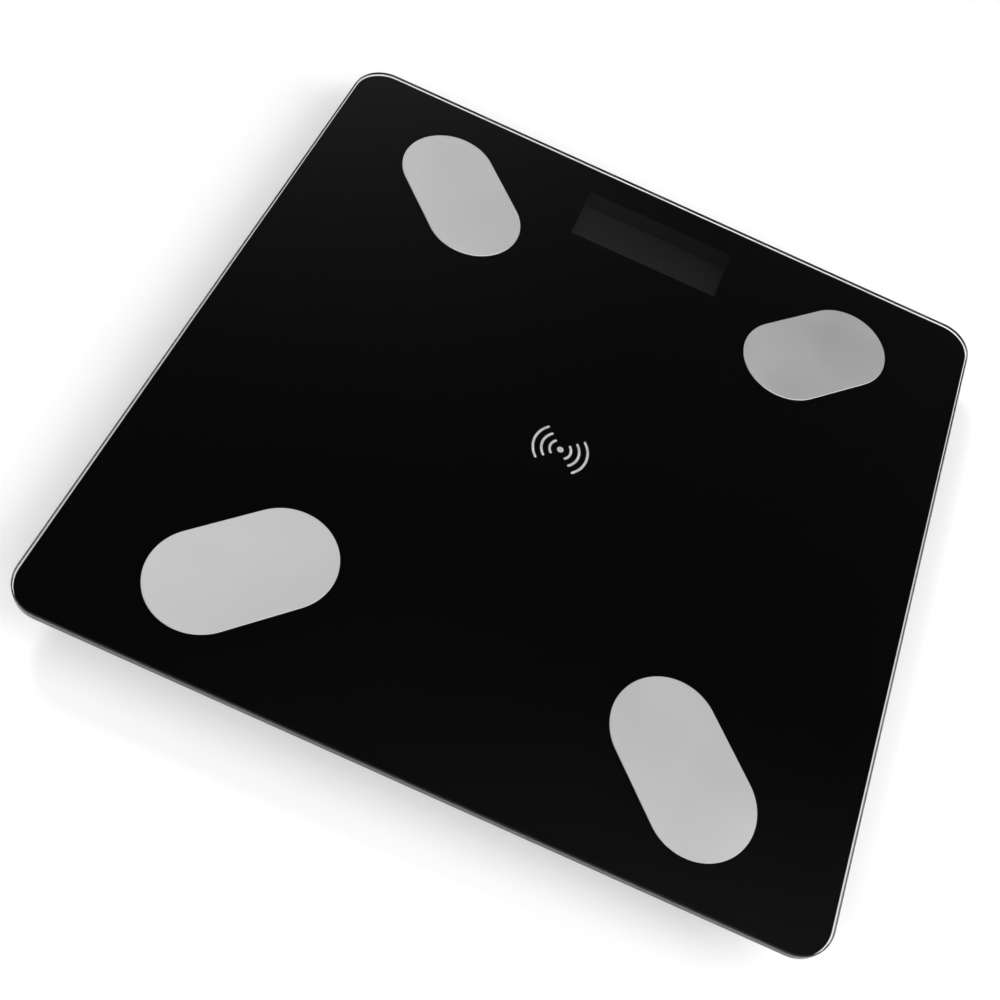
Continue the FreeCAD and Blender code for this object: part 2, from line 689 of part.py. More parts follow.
def battery(y, nub_side):
    """AAA cell on its side, with its positive nub at nub_side."""
    start = -BATTERY_LENGTH / 2.0 - nub_side * BATTERY_NUB / 2.0
    body = Part.makeCylinder(CELL_R, BATTERY_LENGTH, V(start, y, BATTERY_Z), X_AXIS)
    body = body.makeFillet(0.5, body.Edges)
    face = start + (BATTERY_LENGTH if nub_side > 0 else 0.0)
    root = V(face - 0.5 * nub_side, y, BATTERY_Z)
    nub = Part.makeCylinder(BATTERY_NUB_R, BATTERY_NUB + 0.5, root, V(nub_side, 0, 0))
    return body.fuse(nub)


def contact_plate(x0, x1, y0, y1):
    """Flat spring-steel contact that stands against an end wall of the bay."""
    return box(x0, x1, y0, y1, BATTERY_Z - CONTACT_HALF, BATTERY_Z + CONTACT_HALF)


def dimple(x, y, side, depth):
    """Pressed bulge of a contact, in the direction of side."""
    start = V(x, y, BATTERY_Z)
    return Part.makeCone(2.6, 1.2, depth, start, V(side, 0, 0))


def battery_contacts():
    """Link at one end of the bay, a plus plate and a minus leaf with solder tails at the other."""
    half = BAY_HALF_X
    sheet = CONTACT_SHEET
    side = CONTACT_HALF + 0.2
    y_low = BAY_Y - BATTERY_PITCH / 2.0
    y_high = BAY_Y + BATTERY_PITCH / 2.0
    nub_end = BATTERY_LENGTH / 2.0 + BATTERY_NUB / 2.0
    cell_gap = half - sheet - nub_end
    link = fuse_all([
        contact_plate(-half, -half + sheet, y_low - side, y_high + side),
        dimple(-half + sheet - 0.1, y_low, 1, cell_gap + 0.1),
        dimple(-half + sheet - 0.1, y_high, 1, cell_gap + 0.1),
    ])
    ends = []
    for y in (y_low, y_high):
        tail = box(half - sheet, half + 4.0, y - 1.0, y + 1.0, BATTERY_Z, BATTERY_Z + sheet)
        plate = contact_plate(half - sheet, half, y - side, y + side)
        bulge = dimple(half - sheet + 0.1, y, -1, cell_gap + 0.1)
        ends.append(fuse_all([plate, bulge, tail]))
    return link, ends[0], ends[1]


# ---- electronics ---------------------------------------------------------------------------------
def main_pcb():
    """Board that carries the display, the processor and every lead socket."""
    middle_y = (PCB_Y0 + PCB_Y1) / 2.0
    board = rounded_block(2.0 * PCB_X, PCB_Y1 - PCB_Y0, 1.5, PCB_BOTTOM, PCB_TOP, 0.0, middle_y)
    holes = []
    for sx in (-1, 1):
        for y in POST_Y:
            holes.append(disc(sx * POST_X, y, EAR_HOLE_R, PCB_BOTTOM - PAST, PCB_TOP + PAST))
    return cut_all(board, holes)


def chip(x, y, length, width, height, pins_per_side, pin_pitch):
    """Surface-mounted chip with gull-wing legs along its two long sides."""
    body = box(x - length / 2.0, x + length / 2.0, y - width / 2.0, y + width / 2.0,
               PCB_TOP + 0.1, PCB_TOP + height)
    legs = []
    for index in range(pins_per_side):
        leg_x = x + (index - (pins_per_side - 1) / 2.0) * pin_pitch
        legs.append(box(leg_x - 0.2, leg_x + 0.2, y - width / 2.0 - 1.0, y + width / 2.0 + 1.0,
                        PCB_TOP, PCB_TOP + 0.3))
    return fuse_all([body] + legs)


def pcb_chips():
    """Converter with processor, and the display driver, below the window."""
    return Part.makeCompound([
        chip(-12.0, 88.2, 9.9, 3.9, 1.5, 8, 1.27),
        chip(9.0, 88.2, 5.0, 3.9, 1.5, 4, 1.27),
    ])


def pcb_passives():
    """Resistors, capacitors and the crystal can."""
    pieces = []
    for index in range(5):
        x = -1.5 + 1.6 * index
        pieces.append(box(x - 0.4, x + 0.4, 85.0, 86.6, PCB_TOP, PCB_TOP + 0.5))
    crystal = stadium_block(8.0, 3.2, 0.0, 20.0, 89.0, PCB_TOP, PCB_TOP + 3.4)
    capacitor = disc(27.5, 88.6, 2.5, PCB_TOP, PCB_TOP + 5.4)
    return Part.makeCompound(pieces + [crystal, capacitor])


def radio_module():
    """Small radio board with its shield can and printed antenna strip."""
    low = 84.6
    high = 91.2
    board = box(-34.0, -20.0, low, high, PCB_TOP, PCB_TOP + 0.8)
    can = box(-33.0, -26.0, low + 0.6, high - 0.6, PCB_TOP + 0.8, PCB_TOP + 2.2)
    traces = []
    for index in range(4):
        x = -25.0 + 1.1 * index
        traces.append(box(x, x + 0.5, low + 0.8, high - 0.8, PCB_TOP + 0.8, PCB_TOP + 0.9))
    return fuse_all([board, can] + traces)


def display_parts():
    """Recess walls, digit panel and smoked filter behind the window."""
    inner_w = WINDOW_WIDTH + 0.4
    inner_d = WINDOW_DEPTH + 0.4
    outer_w = inner_w + 2.0 * FRAME_WALL
    outer_d = inner_d + 2.0 * FRAME_WALL
    frame = rounded_block(outer_w, outer_d, 1.6, PCB_TOP, FRAME_TOP, 0.0, WINDOW_Y)
    frame = frame.cut(rounded_block(inner_w, inner_d, 0.6, PCB_TOP - 1.0, FRAME_TOP + 1.0, 0.0, WINDOW_Y))
    far_wall = WINDOW_Y + inner_d / 2.0
    catch = box(-4.6, 2.6, far_wall - 0.5, far_wall + 0.5, FRAME_TOP - 2.6, FRAME_TOP - 1.2)
    frame = fuse_all([frame, catch])
    panel = rounded_block(inner_w - 0.3, inner_d - 0.3, 0.5, PCB_TOP, PANEL_TOP, 0.0, WINDOW_Y)
    filter_sheet = rounded_block(inner_w - 0.3, inner_d - 0.3, 0.5, PANEL_TOP, FILTER_TOP, 0.0, WINDOW_Y)
    return frame, panel, filter_sheet


def lead_sockets():
    """Sockets on the board's edges: load cells at the sides, electrodes at the front."""
    half = SOCKET_WIDE / 2.0
    top = PCB_TOP + SOCKET_TALL
    sockets = []
    for sx in (-1, 1):
        ends = sorted((sx * (PCB_X - SOCKET_DEEP), sx * PCB_X))
        for y in SIDE_SOCKET_Y:
            sockets.append(box(ends[0], ends[1], y - half, y + half, PCB_TOP, top))
        x = sx * FRONT_SOCKET_X
        sockets.append(box(x - half, x + half, PCB_Y0, PCB_Y0 + SOCKET_DEEP, PCB_TOP, top))
    return Part.makeCompound(sockets)


def pcb_screws():
    """Pan-head screws that hold the board on its posts."""
    screws = []
    for sx in (-1, 1):
        for y in POST_Y:
            x = sx * POST_X
            head = disc(x, y, 1.9, PCB_TOP, PCB_TOP + 1.2)
            shank = disc(x, y, SCREW_R, BASE_BOTTOM + 1.2, PCB_TOP + 0.1)
            drive = cross_recess(x, y, PCB_TOP + 0.5, PCB_TOP + 2.0)
            screws.append(head.fuse(shank).cut(drive))
    return Part.makeCompound(screws)


def cross_recess(x, y, z0, z1):
    """Cross-shaped driver recess."""
    reach = 1.1
    half = 0.25
    across = box(x - reach, x + reach, y - half, y + half, z0, z1)
    along = box(x - half, x + half, y - reach, y + reach, z0, z1)
    return across.fuse(along)


def unit_parts():
    """Button in the underside, and the switch that it presses under the board."""
    x = BUTTON_X
    y = BUTTON_Y
    low = BASE_BOTTOM - 0.1
    cap = disc(x, y, BUTTON_R, low, BASE_BOTTOM + 1.4)
    cap = cap.makeFillet(0.4, level_edges(cap, low))
    flange = disc(x, y, BUTTON_FLANGE_R, BASE_BOTTOM + 1.1, BASE_BOTTOM + 1.7)
    stem = disc(x, y, PLUNGER_R + 0.2, BASE_BOTTOM + 1.6, BUTTON_STEM_TOP)
    button = fuse_all([cap, flange, stem])
    plunger = disc(x, y, PLUNGER_R, BUTTON_STEM_TOP, PLUNGER_TOP)
    half = SWITCH_SIZE / 2.0
    switch = box(x - half, x + half, y - half, y + half, SWITCH_BOTTOM, PCB_BOTTOM)
    switch = switch.cut(disc(x, y, PLUNGER_R + 0.3, SWITCH_BOTTOM - PAST, PLUNGER_TOP + 0.4))
    return button, plunger, switch


# ---- load cells and feet -------------------------------------------------------------------------
def load_cell():
    """Square steel cell with a bending tongue, built round the origin, tongue rooted at -X."""
    cell = rounded_block(CELL_SIZE, CELL_SIZE, CELL_CORNER_R, CELL_BOTTOM, CELL_TOP)
    inner = CELL_SIZE / 2.0 - CELL_FRAME
    low = CELL_BOTTOM - PAST
    high = CELL_TOP + PAST
    slot = box(-inner, inner, -inner, inner, low, high)
    tongue = box(-inner - 1.0, TONGUE_TIP, -TONGUE_HALF, TONGUE_HALF, low - PAST, high + PAST)
    cell = cell.cut(slot.cut(tongue))
    corner = CELL_SIZE / 2.0 - CELL_FRAME / 2.0
    tools = []
    for sy in (-1, 1):
        tools.append(disc(-8.0, sy * TONGUE_HALF, 2.0, low, high))
        for sx in (-1, 1):
            tools.append(disc(sx * corner, sy * corner, 1.1, low, high))
    return cut_all(cell, tools)


def strain_gauge():
    """Gauge under its white sealant, on the tongue's top."""
    top = CELL_TOP + 1.1
    sealant = rounded_block(9.0, 8.0, 2.0, CELL_TOP, top, -6.0, 0.0)
    return sealant.makeFillet(0.7, level_edges(sealant, top))


def sensor_retainer(sx, sy):
    """Clamp ring under a load cell: lip for the foot's tabs, four lugs and two screw ears."""
    lip = ring(0, 0, RETAINER_BORE_R, RETAINER_R, RETAINER_BOTTOM, LIP_TOP)
    wall = ring(0, 0, RETAINER_R - 1.6, RETAINER_R, LIP_TOP - 0.1, CELL_BOTTOM)
    parts = [lip, wall]
    half = LUG_WIDTH / 2.0
    for angle in (45.0, 135.0, 225.0, 315.0):
        lug = box(17.6, RETAINER_R - 0.8, -half, half, EAR_BOTTOM, CELL_BOTTOM)
        parts.append(turned(lug, 0, 0, angle))
    hole_tools = []
    for angle in ear_angles(sx, sy):
        x, y = at_angle(0, 0, EAR_DISTANCE, angle)
        bridge = box(RETAINER_R - 1.2, EAR_DISTANCE, -EAR_R, EAR_R, EAR_BOTTOM, EAR_TOP)
        parts.append(turned(bridge, 0, 0, angle))
        parts.append(disc(x, y, EAR_R, EAR_BOTTOM, EAR_TOP))
        hole_tools.append(disc(x, y, EAR_HOLE_R, EAR_BOTTOM - PAST, EAR_TOP + PAST))
    return cut_all(fuse_all(parts), hole_tools)


def retainer_screws():
    """Pan-head screws, two for each retainer."""
    screws = []
    for _, sx, sy in CORNERS:
        for angle in ear_angles(sx, sy):
            x, y = at_angle(sx * FOOT_XY, sy * FOOT_XY, EAR_DISTANCE, angle)
            low = EAR_BOTTOM - 1.5
            head = disc(x, y, 2.3, low, EAR_BOTTOM)
            head = head.makeFillet(0.6, level_edges(head, low))
            shank = disc(x, y, SCREW_R, EAR_BOTTOM - 0.1, POCKET_CEILING - 0.6)
            drive = cross_recess(x, y, low - 0.5, low + 0.7)
            screws.append(head.fuse(shank).cut(drive))
    return Part.makeCompound(screws)


def foot_shell():
    """Moulded foot cup: pad recess below, ribs and boss above, four tabs that keep it in."""
    cup = disc(0, 0, FOOT_R, FOOT_RIM_Z, FOOT_TOP)
    cup = cup.makeFillet(1.6, level_edges(cup, FOOT_RIM_Z))
    inner = FOOT_R - FOOT_WALL
    cup = cup.cut(disc(0, 0, inner, FOOT_FLOOR_TOP, FOOT_TOP + PAST))
    cup = cup.cut(disc(0, 0, FOOT_PAD_R + 0.2, FOOT_RIM_Z - PAST, FOOT_PAD_THICK))
    root = FOOT_FLOOR_TOP - 0.1
    parts = [cup, disc(0, 0, BOSS_R, root, BOSS_TOP)]
    half = TAB_WIDTH / 2.0
    for quarter in range(4):
        rib = box(BOSS_R - 1.0, inner + 0.5, -0.7, 0.7, root, FOOT_TOP - 0.5)
        parts.append(turned(rib, 0, 0, 45.0 + 90.0 * quarter))
        tab = ring(0, 0, inner, TAB_R, FOOT_TOP, TAB_TOP)
        tab = tab.common(box(0, TAB_R + PAST, -half, half, FOOT_TOP, TAB_TOP))
        parts.append(turned(tab, 0, 0, 90.0 * quarter))
    return fuse_all(parts)


def foot_pad():
    """Rubber pad with a chamfered edge and two ring grooves."""
    pad = disc(0, 0, FOOT_PAD_R, 0.0, FOOT_PAD_THICK)
    pad = pad.makeChamfer(0.5, level_edges(pad, 0.0))
    grooves = [ring(0, 0, r, r + 1.0, -PAST, GROOVE_DEPTH) for r in (7.0, 11.5)]
    return cut_all(pad, grooves)


# ---- leads ---------------------------------------------------------------------------------------
def sensor_route(sx, sy):
    """Route of a load cell's three wires to its socket at the side of the board."""
    cell_z = 14.25
    cell_y = sy * FOOT_XY
    start = V(sx * (FOOT_XY - 1.5), cell_y, cell_z)
    if sy > 0:
        y = SIDE_SOCKET_Y[0]
        return [
            start,
            V(sx * (FOOT_XY - 28.5), cell_y, cell_z),
            V(sx * (PCB_X + 6.0), y, SOCKET_WIRE_Z),
            V(sx * PCB_X, y, SOCKET_WIRE_Z),
        ]
    y = SIDE_SOCKET_Y[1]
    lane = sx * 56.2
    return [
        start,
        V(sx * (FOOT_XY - 30.0), cell_y, cell_z),
        V(sx * 56.8, cell_y + 6.0, 10.0),
        V(lane, cell_y + 16.0, WIRE_FLOOR_Z + 0.3),
        V(lane + sx * 0.6, -45.0, WIRE_FLOOR_Z),
        V(lane - sx * 0.5, 0.0, WIRE_FLOOR_Z),
        V(lane + sx * 0.4, 50.0, WIRE_FLOOR_Z),
        V(lane + sx * 0.6, 80.0, WIRE_FLOOR_Z + 0.6),
        V(sx * (PCB_X + 6.4), y - 6.0, SOCKET_WIRE_Z - 1.0),
        V(sx * (PCB_X + 4.4), y, SOCKET_WIRE_Z),
        V(sx * PCB_X, y, SOCKET_WIRE_Z),
    ]


def electrode_route(sx, sy):
    """Route of an electrode's single lead from its tag to the socket at the board's front edge."""
    x, y = tag_end(sx, sy)
    wire_z = TAG_BOTTOM - WIRE_R
    socket_x = sx * (FRONT_SOCKET_X + 1.2 * sy)
    approach = V(socket_x, PCB_Y0 - 6.0, SOCKET_WIRE_Z)
    socket = V(socket_x, PCB_Y0, SOCKET_WIRE_Z)
    if sy > 0:
        return [V(x + sx * 1.5, y, wire_z), V(x - sx * 3.6, y, wire_z - 1.0), approach, socket]
    lane = sx * 44.5
    return [
        V(x + sx * 1.5, y, wire_z),
        V(lane + sx * 1.0, y + 1.5, wire_z - 3.5),
        V(lane - sx * 0.6, y + 18.0, WIRE_FLOOR_Z + 0.4),
        V(lane + sx * 0.5, -20.0, WIRE_FLOOR_Z),
        V(lane - sx * 0.5, 25.0, WIRE_FLOOR_Z),
        V(lane - sx * 0.2, 58.0, WIRE_FLOOR_Z + 0.4),
        approach,
        socket,
    ]


def battery_route(sign):
    """Route of a battery lead from a contact's tail to the board."""
    tail_x = BAY_LENGTH / 2.0 + 3.4
    y = BAY_Y + sign * BATTERY_PITCH / 2.0
    wire_z = BATTERY_Z + 0.4 + WIRE_R
    lane = tail_x + (1.0 if sign > 0 else 3.6)
    pad_x = 22.0 - 1.4 * sign
    return [
        V(tail_x - 1.0, y, wire_z),
        V(lane, y + 1.5, wire_z),
        V(lane - 0.6, 62.0, wire_z + 0.3),
        V(pad_x, 76.0, wire_z + 0.5),
        V(pad_x, PCB_Y0 + 1.5, PCB_TOP + WIRE_R + 0.05),
    ]


# ---- write every sub-part ------------------------------------------------------------------------
def write_platform():
    save("glass_plate", glass_plate())
    icon = wireless_icon()
    save("wireless_icon", icon)
    save("graphic_film", graphic_film(icon))
    for name, sx, sy in CORNERS:
        save("electrode_" + name, electrode(sx, sy))
    save("electrode_pins", electrode_pins())
    save("electrode_terminals", electrode_terminals())
    save("mounting_tape", mounting_tape())
    save("glass_cushions", glass_cushions())


def write_base():
    save("base_housing", base_housing())
    save("battery_door", battery_door())
    save("battery_1", battery(BAY_Y - BATTERY_PITCH / 2.0, 1))
    save("battery_2", battery(BAY_Y + BATTERY_PITCH / 2.0, -1))
    link, plus_plate, minus_leaf = battery_contacts()
    save("contact_link", link)
    save("contact_plus", plus_plate)
    save("contact_minus", minus_leaf)


def write_electronics():
    save("main_pcb", main_pcb())
    save("pcb_chips", pcb_chips())
    save("pcb_passives", pcb_passives())
    save("radio_module", radio_module())
    save("lead_sockets", lead_sockets())
    save("pcb_screws", pcb_screws())
    frame, panel, filter_sheet = display_parts()
    save("display_frame", frame)
    save("display_panel", panel)
    save("display_filter", filter_sheet)
    button, plunger, switch = unit_parts()
    save("unit_button", button)
    save("switch_plunger", plunger)
    save("unit_switch", switch)


def write_feet():
    cell = load_cell()
    gauge = strain_gauge()
    shell = foot_shell()
    pad = foot_pad()
    gauges = []
    for name, sx, sy in CORNERS:
        x = sx * FOOT_XY
        y = sy * FOOT_XY
        turn = 0.0 if sx > 0 else 180.0
        save("load_cell_" + name, turned(cell, x, y, turn + 180.0))
        gauges.append(turned(gauge, x, y, turn + 180.0))
        save("load_pad_" + name, disc(x, y, BOSS_R - 0.4, BOSS_TOP, CELL_BOTTOM))
        save("sensor_retainer_" + name, turned(sensor_retainer(sx, sy), x, y, 0.0))
        save("foot_shell_" + name, turned(shell, x, y, 0.0))
        save("foot_pad_" + name, turned(pad, x, y, 0.0))
    save("strain_gauges", Part.makeCompound(gauges))
    save("retainer_screws", retainer_screws())


def write_leads():
    for name, sx, sy in CORNERS:
        save("sensor_lead_" + name, Part.makeCompound(wire_bundle(sensor_route(sx, sy), 3)))
    singles = [wire_bundle(electrode_route(sx, sy), 1)[0] for _, sx, sy in CORNERS]
    save("electrode_leads", Part.makeCompound(singles))
    save("battery_leads", Part.makeCompound([wire_bundle(battery_route(sign), 1)[0] for sign in (-1, 1)]))


os.makedirs("parts", exist_ok=True)
write_platform()
write_base()
write_electronics()
write_feet()
write_leads()
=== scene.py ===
import math

import bpy
from mathutils import Matrix, Vector


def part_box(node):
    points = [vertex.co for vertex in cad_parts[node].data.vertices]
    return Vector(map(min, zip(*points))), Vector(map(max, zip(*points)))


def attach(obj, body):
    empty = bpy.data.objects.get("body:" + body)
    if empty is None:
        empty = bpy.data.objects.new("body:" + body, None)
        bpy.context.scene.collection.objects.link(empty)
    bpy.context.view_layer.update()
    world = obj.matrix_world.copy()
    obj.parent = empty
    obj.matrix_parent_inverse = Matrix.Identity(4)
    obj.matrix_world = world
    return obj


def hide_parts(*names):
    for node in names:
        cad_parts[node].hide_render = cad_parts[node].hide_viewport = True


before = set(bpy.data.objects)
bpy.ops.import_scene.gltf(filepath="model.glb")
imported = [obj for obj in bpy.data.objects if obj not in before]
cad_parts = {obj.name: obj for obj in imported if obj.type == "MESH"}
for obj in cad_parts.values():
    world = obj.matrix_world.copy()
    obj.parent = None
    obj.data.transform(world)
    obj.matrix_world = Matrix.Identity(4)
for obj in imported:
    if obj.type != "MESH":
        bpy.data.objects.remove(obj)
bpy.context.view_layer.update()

# Glass bathroom scale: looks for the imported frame. Metres; origin on the floor under the middle of the
# platform, +Z up, +Y towards the display edge.

MM = 0.001
GLASS_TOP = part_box("glass_plate")[1].z
CORNERS = ("rear_left", "rear_right", "front_left", "front_right")

# ---- camera ----
# Both points are measured from the middle of the top of the glass.
CAMERA_FROM = Vector((-2.9, -265.4, 368.2)) * MM
CAMERA_AIM = Vector((0.28, -19.91, 0.0)) * MM
CAMERA_ROLL = math.radians(24.85)
CAMERA_LENS = 48.26
CAMERA_SHIFT = (-0.043, -0.0093)
CAMERA_CLIP = (0.01, 20.0)
SENSOR_WIDTH = 36.0


def make_camera():
    data = bpy.data.cameras.new("camera")
    data.sensor_width = SENSOR_WIDTH
    data.lens = CAMERA_LENS
    data.shift_x, data.shift_y = CAMERA_SHIFT
    data.clip_start, data.clip_end = CAMERA_CLIP
    camera = bpy.data.objects.new("camera", data)
    bpy.context.scene.collection.objects.link(camera)
    lift = Vector((0.0, 0.0, GLASS_TOP))
    look = (CAMERA_AIM - CAMERA_FROM).to_track_quat("-Z", "Y").to_matrix()
    roll = Matrix.Rotation(CAMERA_ROLL, 3, "Z")
    camera.matrix_world = Matrix.Translation(CAMERA_FROM + lift) @ (look @ roll).to_4x4()
    bpy.context.scene.camera = camera


# ---- node helpers ----
class Nodes:
    """Short ways to add nodes to a node tree."""

    def __init__(self, tree):
        self.tree = tree

    def put(self, socket, value):
        if isinstance(value, bpy.types.NodeSocket):
            self.tree.links.new(value, socket)
        else:
            socket.default_value = value

    def node(self, kind, settings=None, inputs=None):
        made = self.tree.nodes.new(kind)
        for key, value in (settings or {}).items():
            setattr(made, key, value)
        for key, value in (inputs or {}).items():
            self.put(made.inputs[key], value)
        return made

    def math(self, operation, a, b=0.0):
        return self.node("ShaderNodeMath", {"operation": operation}, {0: a, 1: b}).outputs[0]

    def mix(self, fac, zero, one):
        """The number zero where fac is 0, and one where fac is 1."""
        return self.node("ShaderNodeMix", {"data_type": "FLOAT"}, {0: fac, 2: zero, 3: one}).outputs[0]

    def fade(self, value, limits, level=1.0):
        """Smooth step from 0 at the first limit to level at the second."""
        start, end = limits
        made = self.node("ShaderNodeMapRange", {"interpolation_type": "SMOOTHSTEP"},
                         {"Value": value, "From Min": start, "From Max": end, "To Max": level})
        return made.outputs[0]


class Paint(Nodes):
    """A material and the parts that most finishes are made of."""

    def __init__(self, name):
        self.material = bpy.data.materials.new(name)
        self.material.use_nodes = True
        super().__init__(self.material.node_tree)
        self.shader = self.tree.nodes["Principled BSDF"]
        self.coordinates = self.node("ShaderNodeTexCoord").outputs["Object"]

    def set(self, **inputs):
        for key, value in inputs.items():
            self.put(self.shader.inputs[key.replace("_", " ")], value)

    def noise(self, scale, detail=3.0, roughness=0.5, stretch=None):
        where = self.coordinates
        if stretch:
            where = self.node("ShaderNodeMapping", inputs={0: where, 3: stretch}).outputs[0]
        made = self.node("ShaderNodeTexNoise", inputs={0: where, "Scale": scale, "Detail": detail,
                                                       "Roughness": roughness})
        return made.outputs["Fac"]

    def waves(self, direction, scale, distortion):
        made = self.node("ShaderNodeTexWave", {"bands_direction": direction},
                         {0: self.coordinates, "Scale": scale, "Distortion": distortion, "Detail": 0.0})
        return made.outputs["Fac"]

    def ramp(self, fac, low, high, at=(0.3, 0.7)):
        """From low to high, as greys or colours, between the two places in fac."""
        made = self.node("ShaderNodeValToRGB", inputs={"Fac": fac})
        for stop, place, value in zip(made.color_ramp.elements, at, (low, high)):
            stop.position = place
            stop.color = value if isinstance(value, tuple) else (value, value, value, 1.0)
        return made.outputs["Color"]

    def bump(self, height, distance, strength):
        made = self.node("ShaderNodeBump", inputs={"Height": height, "Distance": distance,
                                                   "Strength": strength})
        self.put(self.shader.inputs["Normal"], made.outputs["Normal"])


def shade(tone, amount):
    """A colour made darker or lighter, with its alpha."""
    return tuple(amount * channel for channel in tone) + (1.0,)


# ---- materials of the top ----
GLASS_TINT = (0.97, 0.985, 0.978, 1.0)
GLASS_IOR = 1.52
# A face is polished where its normal is at least this upright, and ground elsewhere.
FLAT_FACE = 0.95


def clear_glass():
    """Polished tempered glass with faint smears on its faces and finely ground edges and arrises."""
    paint = Paint("tempered_glass")
    normal = paint.node("ShaderNodeNewGeometry").outputs["True Normal"]
    facing = paint.node("ShaderNodeSeparateXYZ", inputs={0: normal}).outputs["Z"]
    flat = paint.math("GREATER_THAN", paint.math("ABSOLUTE", facing), FLAT_FACE)
    grind = paint.ramp(paint.noise(scale=7000.0, detail=2.0), 0.14, 0.22)
    smears = paint.ramp(paint.noise(scale=16.0, detail=4.0), 0.0, 0.018, at=(0.45, 0.75))
    paint.set(Base_Color=GLASS_TINT, Roughness=paint.mix(flat, grind, smears), IOR=GLASS_IOR,
              Transmission_Weight=1.0)
    return paint.material


def black_print():
    """Screen-printed ink in optical contact with the glass: nearly no light comes back from it."""
    paint = Paint("black_print")
    tone = paint.ramp(paint.noise(scale=240.0, detail=2.0), 0.0004, 0.0006)
    rough = paint.ramp(paint.noise(scale=30.0), 0.7, 0.8)
    paint.set(Base_Color=tone, Roughness=rough, Specular_IOR_Level=0.02)
    return paint.material


def white_ink():
    """Opaque light ink of the pictogram."""
    paint = Paint("white_ink")
    tone = paint.ramp(paint.noise(scale=1200.0), 0.91, 0.95)
    paint.set(Base_Color=tone, Roughness=0.6, Specular_IOR_Level=0.1)
    paint.bump(paint.noise(scale=2500.0), 0.01 * MM, 0.3)
    return paint.material


def satin_steel():
    """Bead-blasted stainless sheet: fine even grain with very faint handling marks."""
    paint = Paint("satin_steel")
    cloud = paint.noise(scale=22.0, detail=4.0)
    tone = paint.ramp(cloud, 0.56, 0.61)
    rough = paint.ramp(cloud, 0.58, 0.64)
    paint.set(Base_Color=tone, Metallic=1.0, Roughness=rough)
    paint.bump(paint.noise(scale=3800.0, detail=2.0), 0.012 * MM, 0.5)
    return paint.material


def recess_plastic_painted_shade():
    """Matt black of the display recess, with painted shade: its tone is far darker than the other black
    plastics, so the recess looks shaded.
    """
    paint = Paint("recess_black_painted_shade")
    # Painted shade: this tone is much darker than plain black plastic so that the recess wall looks shaded.
    tone = paint.ramp(paint.noise(scale=200.0), 0.002, 0.004)
    rough = paint.ramp(paint.noise(scale=1800.0), 0.62, 0.74)
    paint.set(Base_Color=tone, Specular_IOR_Level=0.12, Roughness=rough)
    paint.bump(paint.noise(scale=2500.0), 0.02 * MM, 0.5)
    return paint.material


def smoked_filter():
    """Dark smoked sheet over the digits, with a fine matt finish."""
    paint = Paint("smoked_filter")
    tone = paint.ramp(paint.noise(scale=30.0), 0.0085, 0.0105)
    rough = paint.ramp(paint.noise(scale=800.0), 0.3, 0.42)
    paint.set(Base_Color=tone, Roughness=rough)
    paint.bump(paint.noise(scale=1800.0), 0.01 * MM, 0.3)
    return paint.material


# ---- materials of the base and the insides ----
def moulded_plastic(name, tone, rough, grain_mm, depth_mm=0.04):
    """Moulded plastic with a spark-eroded grain of the size given and slight tone drift."""
    paint = Paint(name)
    drift = paint.ramp(paint.noise(scale=9.0), shade(tone, 0.86), shade(tone, 1.12))
    grain = paint.noise(scale=1.0 / (grain_mm * MM), detail=2.5, roughness=0.6)
    paint.set(Base_Color=drift, Roughness=paint.ramp(grain, rough - 0.05, rough + 0.06))
    paint.bump(grain, depth_mm * MM, 0.55)
    return paint.material


def rolled_metal(name, tone, rough):
    """Plated or bare steel with fine rolling lines."""
    paint = Paint(name)
    lines = paint.noise(scale=420.0, roughness=0.6, stretch=(1.0, 14.0, 1.0))
    patches = paint.ramp(paint.noise(scale=60.0), shade(tone, 0.82), shade(tone, 1.05))
    paint.set(Base_Color=patches, Metallic=1.0, Roughness=paint.ramp(lines, rough - 0.07, rough + 0.07))
    paint.bump(lines, 0.01 * MM, 0.35)
    return paint.material


def soft_rubber(name, tone, rough, scale=1400.0, depth_mm=0.03):
    """Rubber, silicone, foam or wire insulation with a fine matt skin."""
    paint = Paint(name)
    skin = paint.noise(scale=scale, roughness=0.65)
    patches = paint.ramp(paint.noise(scale=45.0), shade(tone, 0.8), shade(tone, 1.15))
    uneven = paint.ramp(skin, rough - 0.08, min(rough + 0.08, 1.0))
    paint.set(Base_Color=patches, Roughness=uneven, Specular_IOR_Level=0.35)
    paint.bump(skin, depth_mm * MM, 0.5)
    return paint.material


MASK_GREEN = (0.012, 0.075, 0.03, 1.0)
TRACK_GREEN = (0.03, 0.15, 0.06, 1.0)
# Ramp places for a value that is only ever 0 or 1.
STEP = (0.0, 1.0)


def circuit_board():
    """Green solder mask over faintly raised copper tracks."""
    paint = Paint("circuit_board")
    across = paint.waves("X", scale=110.0, distortion=1.5)
    along = paint.waves("Y", scale=90.0, distortion=1.2)
    where = paint.math("GREATER_THAN", paint.noise(scale=60.0, detail=0.0), 0.5)
    track = paint.math("GREATER_THAN", paint.mix(where, across, along), 0.62)
    rough = paint.ramp(paint.noise(scale=500.0), 0.25, 0.35)
    paint.set(Base_Color=paint.ramp(track, MASK_GREEN, TRACK_GREEN, at=STEP), Roughness=rough)
    paint.bump(track, 0.03 * MM, 0.5)
    return paint.material


BARE_END = 2.2 * MM
BAND_FROM_END = (12.0 * MM, 9.5 * MM)
SLEEVE_DARK = (0.035, 0.05, 0.07, 1.0)
SLEEVE_PALE = (0.5, 0.52, 0.54, 1.0)
CELL_STEEL = (0.6, 0.6, 0.6, 1.0)


